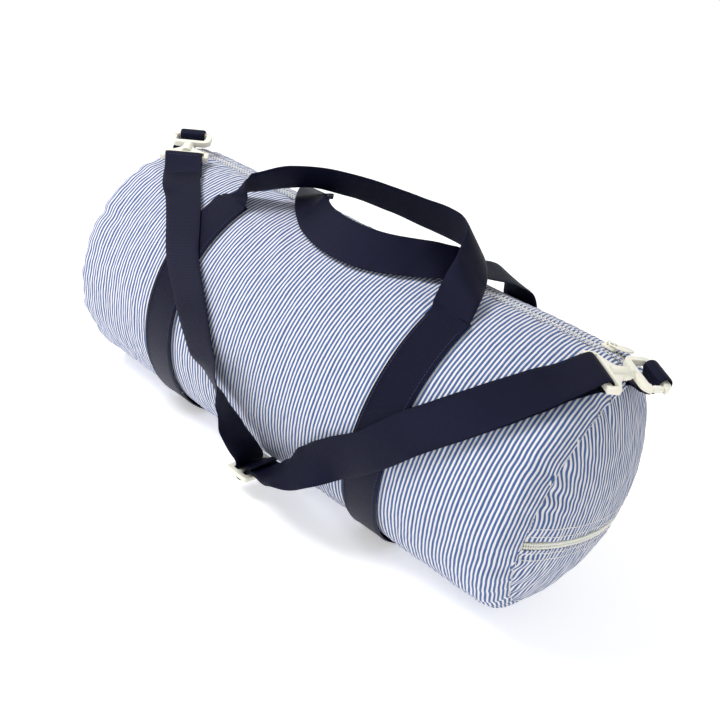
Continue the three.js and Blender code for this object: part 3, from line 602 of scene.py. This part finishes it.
# webbing: a closed ribbon with rounded edges through stations of centre and width direction
def curvePoint(points, t):
    # a centripetal curve through the points
    count = len(points)
    p = (count - 1) * t
    k = min(int(math.floor(p)), count - 2)
    w = p - k
    p1, p2 = points[k], points[k + 1]
    p0 = points[k - 1] if k > 0 else 2 * points[0] - points[1]
    p3 = points[k + 2] if k + 2 < count else 2 * points[-1] - points[-2]
    d0 = max(np.dot(p0 - p1, p0 - p1), 1e-12) ** 0.25
    d1 = max(np.dot(p1 - p2, p1 - p2), 1e-12) ** 0.25
    d2 = max(np.dot(p2 - p3, p2 - p3), 1e-12) ** 0.25
    t1 = ((p1 - p0) / d0 - (p2 - p0) / (d0 + d1) + (p2 - p1) / d1) * d1
    t2 = ((p2 - p1) / d1 - (p3 - p1) / (d1 + d2) + (p3 - p2) / d2) * d1
    c2 = -3 * p1 + 3 * p2 - 2 * t1 - t2
    c3 = 2 * p1 - 2 * p2 + t1 + t2
    return p1 + t1 * w + c2 * w * w + c3 * w * w * w


def ribbonFrames(stations, perSpan):
    points = [np.array(s[0], float) for s in stations]
    acrossList = [unit(np.array(s[1], float)) for s in stations]
    count = (len(points) - 1) * perSpan
    frames, length, before = [], 0.0, None
    for k in range(count + 1):
        t = k / count
        span = min(int(t * (len(points) - 1)), len(points) - 2)
        part = t * (len(points) - 1) - span
        centre = curvePoint(points, t)
        tangent = unit(curvePoint(points, min(t + 1e-4, 1)) - curvePoint(points, max(t - 1e-4, 0)))
        soft = part * part * (3 - 2 * part)
        across = unit(acrossList[span] * (1 - soft) + acrossList[span + 1] * soft)
        face = unit(np.cross(tangent, across))
        if before is not None:
            length += np.linalg.norm(centre - before)
        frames.append((centre, across, face, length))
        before = centre
    return frames


edgeShares = (-1, -0.985, -0.94, -0.8, -0.5, -0.17, 0.17, 0.5, 0.8, 0.94, 0.985, 1)
ribbonThickness = 1.7


def ribbonPiece(name, frames, width, body, node):
    def clothAt(frame, v):
        # thinned at the very edge, with a slightly raised selvedge beside it
        centre, across, face, length = frame
        full = ribbonThickness / 2 * (1 - abs(v) ** 14 * 0.85) * (1.06 if 0.8 < abs(v) < 0.99 else 1)
        beside = centre + across * (v * width / 2)
        return beside + face * full, beside - face * full, (length, v * width / 2)

    outer, inner, uv = gridOf(frames, edgeShares, clothAt)
    piece = slabPiece(name, np.array(outer), np.array(inner), uv, webbing, body)
    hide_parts(node)
    return piece


# stitches: short threads that dip at both ends
def threadPiece(name, runs, body, material, radius=0.32, stitch=2.7, gap=1.0):
    # each run is a list of points with their outward directions
    points, faces = [], []
    for run in runs:
        places = [np.array(p[0], float) for p in run]
        ups = [unit(np.array(p[1], float)) for p in run]
        steps = [0.0]
        for a, b in zip(places[:-1], places[1:]):
            steps.append(steps[-1] + float(np.linalg.norm(b - a)))

        def sample(s):
            k = min(max(int(np.searchsorted(steps, s)) - 1, 0), len(places) - 2)
            w = (s - steps[k]) / max(steps[k + 1] - steps[k], 1e-9)
            return places[k] * (1 - w) + places[k + 1] * w, unit(ups[k] * (1 - w) + ups[k + 1] * w)

        s = gap / 2
        while s + stitch < steps[-1]:
            base = len(points)
            ring = 6
            for t, lift in ((0, -0.9), (0.16, 0.15), (0.5, 0.5), (0.84, 0.15), (1, -0.9)):
                p, up = sample(s + stitch * t)
                q, up2 = sample(min(s + stitch * t + 0.2, steps[-1]))
                along = unit(q - p) if np.linalg.norm(q - p) > 1e-6 else np.array([1.0, 0, 0])
                side = unit(np.cross(along, up))
                for k in range(ring):
                    a = 2 * math.pi * k / ring
                    points.append((p + up * radius * (lift + 0.9 * math.sin(a)) + side * radius * math.cos(a)) * mm)
            faces.append(tuple(base + ring - 1 - k for k in range(ring)))
            faces.append(tuple(base + 4 * ring + k for k in range(ring)))
            for level in range(4):
                for k in range(ring):
                    a, b = base + level * ring + k, base + level * ring + (k + 1) % ring
                    faces.append((a, b, b + ring, a + ring))
            s += stitch + gap
    return meshPiece(name, points, faces, material, body)


threadLift = 0.95  # of a stitch above the webbing's middle layer


def alongRibbon(frames, share, width, start, end):
    return [(c + a * (share * width / 2) + f * threadLift, f) for c, a, f, s in frames if start <= s <= end]


def acrossRibbon(frames, distance, width, share, side):
    c, a, f, s = min(frames, key=lambda item: abs(item[3] - distance))
    return [(c + a * (t * width / 2) + f * (side * threadLift), f * side) for t in np.linspace(-share, share, 12)]


# each station: share of the band's offset, angle, height, then the width's direction
# along the bag, outwards and over the top
handleStart = 58.7
frontHandle = [
    (-1.00, handleStart, 3.6, 1, 0, 0), (-1.00, 61, 6, 0.97, 0.22, 0), (-0.97, 64, 16, 0.64, 0.75, -0.14),
    (-0.86, 69, 22, 0.24, 0.8, -0.55), (-0.66, 79, 30, 0.03, 0.71, -0.7), (-0.4, 88, 33, 0, 0.7, -0.71),
    (-0.08, 93, 35, 0, 0.71, -0.7), (0.24, 94.5, 36, 0, 0.75, -0.66), (0.54, 92, 38, -0.21, 0.81, -0.55),
    (0.8, 85.5, 38, -0.53, 0.75, -0.39), (0.92, 76.5, 24, -0.78, 0.6, -0.2), (0.97, 67.5, 15, -0.93, 0.37, -0.06),
    (0.99, 61, 6, -0.98, 0.2, 0), (1.00, handleStart, 3.6, -1, 0, 0),
]
rearHandle = [
    (-1.00, 180 - handleStart, 3.6, 1, 0, 0), (-0.985, 116, 6.5, 1, 0.04, 0.09), (-0.86, 106, 9, 0.98, 0.02, 0.2),
    (-0.7, 94, 9.5, 0.97, 0.02, 0.22), (-0.56, 83, 14, 0.82, 0.3, 0.48), (-0.39, 72, 13.5, 0.3, 0.68, 0.67),
    (-0.17, 66, 14, 0, 0.65, 0.76), (0.08, 64.5, 14.5, 0, 0.63, 0.78), (0.3, 67, 14, 0, 0.65, 0.76),
    (0.51, 73.5, 14, -0.1, 0.63, 0.77), (0.69, 82, 14, -0.38, 0.52, 0.76), (0.84, 92, 13, -0.8, 0.16, 0.58),
    (0.955, 102, 15, -0.9, 0.25, 0.33), (1.0, 112, 11, -0.99, 0.13, 0.06), (1.0, 180 - handleStart, 3.6, -1, 0, 0),
]


def handleStation(share, angle, height, alongX, outward, over):
    a = math.radians(180 - angle)
    radial = np.array([0, math.cos(a), math.sin(a)])
    overTop = np.array([0, math.sin(a), -math.cos(a)])
    centre = np.array([share * bag["bandOffset"], 0, axis]) + radial * (bag["radius"] + height)
    return centre, np.array([alongX, 0, 0]) + radial * outward + overTop * over


def addBands():
    width = bag["webbingWidth"]
    for name, side in (("left", -1), ("right", 1)):
        stations = [(onBarrel(side * bag["bandOffset"], a, bag["bandGap"] + 0.7, 0.95), (1, 0, 0))
                    for a in np.linspace(180 - 60.5, 360 + 60.5, 64)]
        # a band faces straight out from the barrel's axis
        frames = [(c, a, unit(np.array([0, c[1], c[2] - axis])), s) for c, a, f, s in ribbonFrames(stations, 3)]
        ribbonPiece("bandWebbing_" + name, frames, width, "bag", "band_" + name)
        runs = [alongRibbon(frames, v, width, 3, frames[-1][3] - 3) for v in (-0.84, 0.84)]
        threadPiece("bandThread_" + name, runs, "bag", navyThread)


def addHandles():
    for name, stations in (("front", frontHandle), ("rear", rearHandle)):
        # each end runs down into its band, so that band and handle read as one length of webbing
        turn = (lambda a: a) if name == "front" else (lambda a: 180 - a)
        lead = [(-1.0, turn(51.5), 0.9, 1, 0, 0), (-1.0, turn(55.2), 2.5, 1, 0, 0)]
        tail = [(1.0, turn(55.2), 2.5, -1, 0, 0), (1.0, turn(51.5), 0.9, -1, 0, 0)]
        frames = ribbonFrames([handleStation(*s) for s in lead + stations + tail], 12)
        piece = ribbonPiece(name + "HandleWebbing", frames, bag["webbingWidth"], None, name + "_handle")
        low, high = (handleStation(1, turn(a), 2, 1, 0, 0)[0] * mm for a in (55.5, 63))
        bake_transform(piece)


addBands()
addHandles()
print("bands and handles sewn")


# shoulder strap, hooks and end tabs
hookPlaces = {
    "left": {"bar": (-226.8, -48.8, 245.7), "along": (-0.63, 0.735, 0.26), "across": (0.77, 0.6, 0.2),
             "tabRoot": (-276.5, -4, 234.5), "tabBow": (-4, 0, 0)},
    "right": {"bar": (259, -54.5, 243.4), "along": (0.6, 0.79, 0.1), "across": (-0.77, 0.6, 0.18),
              "tabRoot": (276, -2, 234), "tabBow": (3, 0, -6)},
}
strap = {"turnRadius": 5.2, "layerPitch": 2.4, "ringWire": 5.5, "barToRing": 35, "ringLength": 20, "tabWidth": 26}


def hookFrame(place):
    x = unit(np.array(place["along"], float))
    y = np.array(place["across"], float)
    y = unit(y - x * np.dot(y, x))
    return np.array(place["bar"], float), x, y, np.cross(x, y)


leftLeg = [
    ((-199, -73, 230.5), (0.7, 0.63, 0.34)), ((-176, -87.5, 219), (0.87, 0.36, 0.33)),
    ((-153, -103.5, 201.5), (0.9, 0.27, 0.35)), ((-132, -117, 180.5), (0.91, 0.19, 0.38)),
    ((-99, -128, 149), (0.91, 0.09, 0.41)), ((-66, -133, 111), (0.9, -0.1, 0.38)),
    ((-42, -137.5, 96), (0.78, -0.5, 0.25)), ((-21, -139.5, 80), (0.5, -0.83, 0.1)),
    ((-6, -134.5, 61), (0.2, -0.97, 0)), ((2, -121, 42), (0, -1, 0)),
]
throughGlide = [((x, y, z), (0, -1, 0)) for x, y, z in (
    (3.2, -108, 26), (3.4, -107, 17.5), (6.4, -107, 13), (10, -107, 12), (13.8, -107, 13), (16.8, -107, 17.5),
    (17.6, -107.5, 24.2))]
rightLeg = [
    ((30, -114, 31.5), (0, -1, 0)), ((52, -127, 46), (0.2, -0.93, -0.3)), ((78, -134, 69), (0.5, -0.45, -0.74)),
    ((103, -131, 92), (0.7, 0.15, -0.69)), ((138, -133, 123), (0.9, 0, -0.45)),
    ((161, -130, 150), (0.86, -0.11, -0.49)),
    ((186, -120.5, 175), (0.84, -0.22, -0.49)), ((209, -108.5, 197.5), (0.82, -0.33, -0.47)),
    ((230, -91.5, 218), (0.8, -0.45, -0.4)), ((245, -74, 232), (0.74, -0.58, -0.28)),
]
loopedEnd = [((x, y, z), (0, 1, 0)) for x, y, z in (
    (18.6, -109, 28), (14.8, -107, 24.4), (14.2, -107, 20), (13, -107, 17), (10, -107, 15.8), (7, -107, 17),
    (5.8, -107, 20), (7, -107, 23), (10, -107, 24.4), (15.5, -108, 29.2), (28, -118, 37))]


def turnRound(place, start):
    bar, x, y, z = hookFrame(place)
    found = []
    for t in (1, 0.6, 0.2, -0.2, -0.6, -1):
        a = math.radians(90 * t * start)
        found.append((bar + x * strap["turnRadius"] * math.cos(a) + z * strap["turnRadius"] * math.sin(a), y))
    return found


def besideBar(place, distance):
    bar, x, y, z = hookFrame(place)
    return bar + x * distance - z * strap["turnRadius"], y


def offsetLayer(stations, distance):
    found = []
    for k, (centre, across) in enumerate(stations):
        before = np.array(stations[max(k - 1, 0)][0], float)
        after = np.array(stations[min(k + 1, len(stations) - 1)][0], float)
        face = unit(np.cross(after - before, unit(np.array(across, float))))
        found.append((np.array(centre, float) + face * distance, across))
    return found


def flipped(stations):
    return [(centre, -np.array(across, float)) for centre, across in stations]


def lengthOf(frames):
    return frames[-1][3] * mm


def addStrap():
    layer = strap["layerPitch"] / 2 + 0.1
    right = hookPlaces["right"]
    tail = [((-203, -67.5, 231.6), (0.7, 0.63, 0.34)), ((-213, -59.8, 237.6), (0.75, 0.61, 0.27))]
    run = tail + turnRound(hookPlaces["left"], -1) + leftLeg + throughGlide + offsetLayer(rightLeg, layer)
    run += flipped([besideBar(right, -4.6)])
    back = flipped(list(reversed(offsetLayer(rightLeg, -layer))))
    returning = [besideBar(right, -4.1)] + turnRound(right, -1) + back + loopedEnd
    pieces = {}
    for name, stations, node in (("strapRun", run, "shoulder_strap_run"),
                                 ("strapReturn", returning, "shoulder_strap_return")):
        frames = ribbonFrames(stations, 8)
        piece = ribbonPiece(name, frames, bag["webbingWidth"], "shoulder_strap", node)
        path = [tuple(float(v) * mm for v in frame[0]) for frame in frames[::2] + frames[-1:]]
        pieces[name] = (piece, frames, path)
        print(name, "length", round(lengthOf(frames), 4))
    return pieces


def addTabs():
    for name, place in hookPlaces.items():
        bar, x, y, z = hookFrame(place)
        centre = bar + x * (strap["barToRing"] + strap["ringLength"])
        root = np.array(place["tabRoot"], float)
        acrossRoot = np.array([0, math.copysign(1, y[1]), 0])
        reach = centre - root
        out = unit(reach - y * np.dot(reach, y))
        side = np.cross(y, out)
        rootSide = unit(np.cross(acrossRoot, reach))
        bend = strap["ringWire"] * 0.72 + 1.8
        middle = centre + (root - centre) * 0.55 + np.array(place["tabBow"], float)
        middleAcross = unit(y * 0.4 + acrossRoot * 0.6)
        deep = root - unit(reach) * 5
        pitch = rootSide * strap["layerPitch"] / 2
        # down one side from the seam, round the ring and back up the other side
        stations = [(deep + rootSide * 0.9, acrossRoot), (root + pitch, acrossRoot),
                    (middle + side * 4, middleAcross)]
        for angle in (90, 60, 30, 0, -30, -60, -90):
            a = math.radians(angle)
            stations.append((centre + out * bend * math.cos(a) + side * bend * math.sin(a), y))
        stations += [(middle - side * 4, middleAcross), (root - pitch, acrossRoot),
                     (deep - rootSide * 0.9, acrossRoot)]
        frames = ribbonFrames(stations, 8)
        piece = ribbonPiece("tabWebbing_" + name, frames, strap["tabWidth"], None, "end_tab_" + name)
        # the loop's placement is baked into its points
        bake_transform(piece)


strapPieces = addStrap()
addTabs()
print("strap and tabs sewn")


# moulded plastic pieces keep their shape and get softened edges
def softened(node, name, body, amount):
    mesh = nodes[node].data.copy()
    tidy = bmesh.new()
    tidy.from_mesh(mesh)
    bmesh.ops.remove_doubles(tidy, verts=tidy.verts, dist=2e-6)
    bmesh.ops.dissolve_limit(tidy, angle_limit=math.radians(3), verts=tidy.verts, edges=tidy.edges)
    tidy.to_mesh(mesh)
    tidy.free()
    piece = bpy.data.objects.new(name, mesh)
    bpy.context.scene.collection.objects.link(piece)
    bevel = piece.modifiers.new("edges", "BEVEL")
    bevel.width = amount * mm
    bevel.segments = 2
    bevel.limit_method = "ANGLE"
    bevel.angle_limit = math.radians(38)
    bevel.harden_normals = False
    ready = bpy.data.meshes.new_from_object(piece.evaluated_get(bpy.context.evaluated_depsgraph_get()))
    piece.modifiers.clear()
    piece.data = ready
    ready.materials.clear()
    ready.materials.append(acetal)
    ready.polygons.foreach_set("use_smooth", [True] * len(ready.polygons))
    ready.set_sharp_from_angle(angle=math.radians(42))
    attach(piece, body)
    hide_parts(node)
    return piece


bodyOf = {node: body for body, members in frame["record"]["behaviour"]["bodies"].items() for node in members}
strapPlastic = ["hook_base_left", "hook_base_right", "hook_left", "hook_right", "hook_gate_left", "hook_gate_right",
                "tri_glide"]
zipPlastic = ["top_zip_slider", "top_zip_pull", "pocket_zip_slider", "pocket_zip_pull"]
edgeRound = {"strap": 0.7, "zip": 0.3}
cordPieces = [softened(node, "moulded_" + node, bodyOf[node], edgeRound["strap"]) for node in strapPlastic]
for node in zipPlastic:
    softened(node, "moulded_" + node, bodyOf[node], edgeRound["zip"])
print("plastic pieces softened")

plainPieces = {
    "top_zip_tape_front": polyesterTape, "top_zip_tape_rear": polyesterTape, "pocket_zip_tape_upper": polyesterTape,
    "pocket_zip_tape_lower": polyesterTape, "seam_binding_left": polyesterTape, "seam_binding_right": polyesterTape,
    "top_zip_stop_left": coilNylon, "top_zip_stop_right": coilNylon, "pocket_pouch": cottonLining,
}
for node, material in plainPieces.items():
    nodes[node].data.materials.clear()
    nodes[node].data.materials.append(material)
print("tapes, stops and pouch coloured")


# thread rows
def barrelRun(y, height, halfLength):
    a = 90 - math.degrees(y / bag["radius"])
    out = (0, math.cos(math.radians(a)), math.sin(math.radians(a)))
    return [(onBarrel(x, a, height), out) for x in np.linspace(-halfLength, halfLength, 240)]


def seamRun(side, seed):
    r = bag["rimRadius"] - 1.4
    run = []
    for a in np.radians(np.linspace(96, 444, 300)):
        y, z = r * math.cos(a), r * math.sin(a)
        run.append(((side * (domePoint(y, z, seed) + 0.5), y, axis + z), (side, 0, 0)))
    return run


def domeRun(z, half, line):
    return [((domePoint(y, z, 9.0, line) + 0.15, y, axis + z), (1, 0, 0)) for y in np.linspace(-half, half, 160)]


def addThread():
    width, slot = bag["webbingWidth"], bag["slotHalf"]
    zipRuns = [barrelRun(side * y, high, 268)
               for side in (-1, 1) for y, high in ((slot + 1.6, -0.75), (slot - 1.7, -0.15))]
    threadPiece("zipThread", zipRuns, "bag", cottonThread)
    seamRuns = [seamRun(-1, 5.0), seamRun(1, 9.0)]
    threadPiece("seamThread", seamRuns, "bag", cottonThread, radius=0.3, stitch=2.6, gap=0.7)
    drop = -endPanel["zipDrop"]
    rows = [domeRun(z, math.sqrt(106 ** 2 - z * z), drop + math.copysign(endPanel["slotHalf"], z - drop))
            for z in (drop + 9, drop + 17, drop - 8, drop - 15)]
    threadPiece("pocketThread", rows, "bag", cottonThread, radius=0.42, gap=0.8)
    runFrames = strapPieces["strapRun"][1]
    total = runFrames[-1][3]
    sewn = [acrossRibbon(runFrames, distance, width, 0.82, side)
            for ends in ((30, 52), (total - 46, total - 24)) for side in (1, -1) for distance in ends]
    threadPiece("strapThread", sewn, "shoulder_strap", navyThread)


addThread()
print("thread rows sewn")


# floor, light and surroundings
studio = {
    "floor": "#fdfdfd", "floorShade": "#f9f9f9", "floorGlow": 0.42,
    "keyPower": 26, "fillPower": 2, "worldStrength": 0.62,
}


def addFloor():
    size = 80
    points = [(-size, -size, -0.0004), (size, -size, -0.0004), (size, size, -0.0004), (-size, size, -0.0004)]
    mesh = bpy.data.meshes.new("floor")
    mesh.from_pydata(points, [], [(0, 1, 2, 3)])
    # matt paper, lit a little from within so that it meets the white sky
    material, shader = newMaterial("floorPaper", 0.95, Emission_Color=linear("#ffffff"),
                                   Emission_Strength=studio["floorGlow"])
    place = addNode(material, "ShaderNodeTexCoord").outputs["Object"]
    cloud = addNode(material, "ShaderNodeTexNoise", Vector=place, Scale=6, Detail=2).outputs["Fac"]
    colour = addNode(material, "ShaderNodeMix", {"data_type": "RGBA"}, in0=cloud,
                     in6=linear(studio["floorShade"]), in7=linear(studio["floor"]))
    join(material, colour.outputs[2], shader.inputs["Base Color"])
    mesh.materials.append(material)
    floor = bpy.data.objects.new("floor", mesh)
    bpy.context.scene.collection.objects.link(floor)


def addLight(name, place, target, size, power):
    data = bpy.data.lights.new(name, "AREA")
    data.shape = "DISK"
    data.size = size
    data.energy = power
    light = bpy.data.objects.new(name, data)
    light.location = place
    light.rotation_euler = (Vector(target) - Vector(place)).to_track_quat("-Z", "Y").to_euler()
    bpy.context.scene.collection.objects.link(light)


def addWorld():
    # the sky is seen as white as the floor, and lights the bag less than it shows
    world = bpy.data.worlds.new("studio")
    world.use_nodes = True
    background = world.node_tree.nodes["Background"]
    background.inputs[0].default_value = linear("#ffffff")
    seen = addNode(world, "ShaderNodeLightPath").outputs["Is Camera Ray"]
    strength = addNode(world, "ShaderNodeMapRange", in0=seen, in3=studio["worldStrength"], in4=1.0)
    join(world, strength.outputs[0], background.inputs[1])
    bpy.context.scene.world = world
    bpy.context.scene.view_settings.view_transform = "Standard"


addFloor()
addLight("keyLight", (-0.9, -0.9, 1.5), (0, 0, 0.1), 0.9, studio["keyPower"])
addLight("fillLight", (1.4, -1.2, 0.9), (0, 0, 0.1), 1.6, studio["fillPower"])
addWorld()
print("studio lit")
